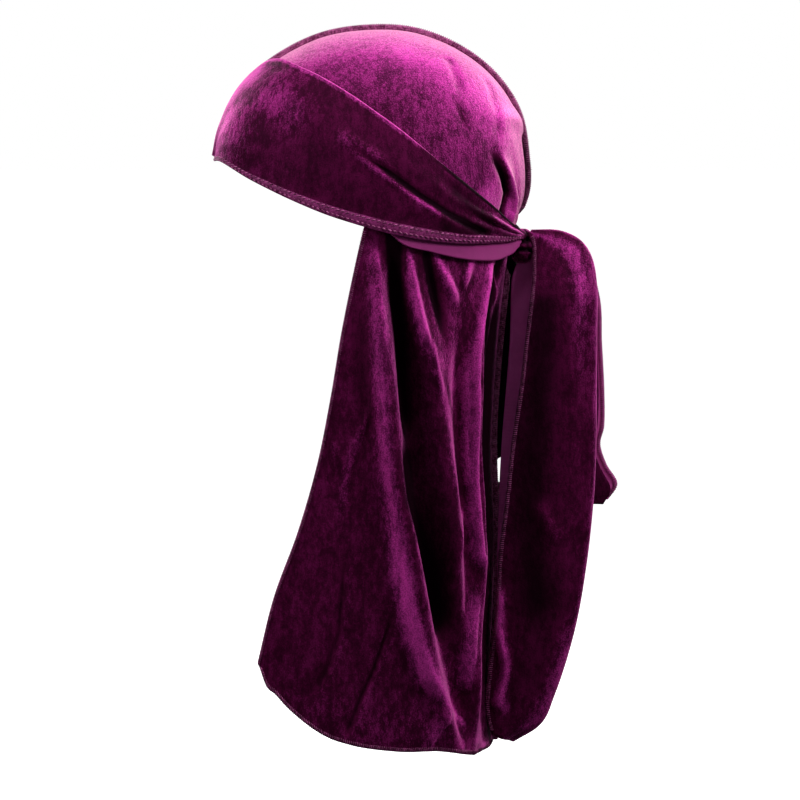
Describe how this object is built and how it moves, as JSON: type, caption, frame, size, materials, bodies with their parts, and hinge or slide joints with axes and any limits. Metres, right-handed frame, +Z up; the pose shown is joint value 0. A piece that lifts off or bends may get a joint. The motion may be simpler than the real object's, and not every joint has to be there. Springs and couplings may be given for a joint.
{
  "type": "durag",
  "caption": "Velvet durag in its worn form: a seamed dome, two wide folded ties crossed to a knot behind, hanging tie ends and a long draped cape.",
  "frame": {"origin": "middle of the head hollow, level with the hem over the brow, in the middle plane", "axes": "+Z up, the wearer faces -Y, +X is the wearer's left; the crown seam and the cape seam lie in the plane x = 0"},
  "size_m": [0.1858, 0.2669, 0.4736],
  "materials": {
    "velvet": "crushed velvet, deep purple with a bright magenta sheen where it grazes the light",
    "reverse": "matte knitted back of the velvet",
    "overlock": "close overlock stitching in matching thread"
  },
  "bodies": {
    "root": {"crown_left": "velvet", "crown_right": "velvet", "crown_seam": "overlock", "tie_left": "velvet", "tie_right": "velvet", "knot": "velvet", "tail_left": "velvet", "tail_right": "velvet", "cape_left": "velvet", "cape_right": "velvet", "cape_seam": "overlock"}
  },
  "joints": []
}
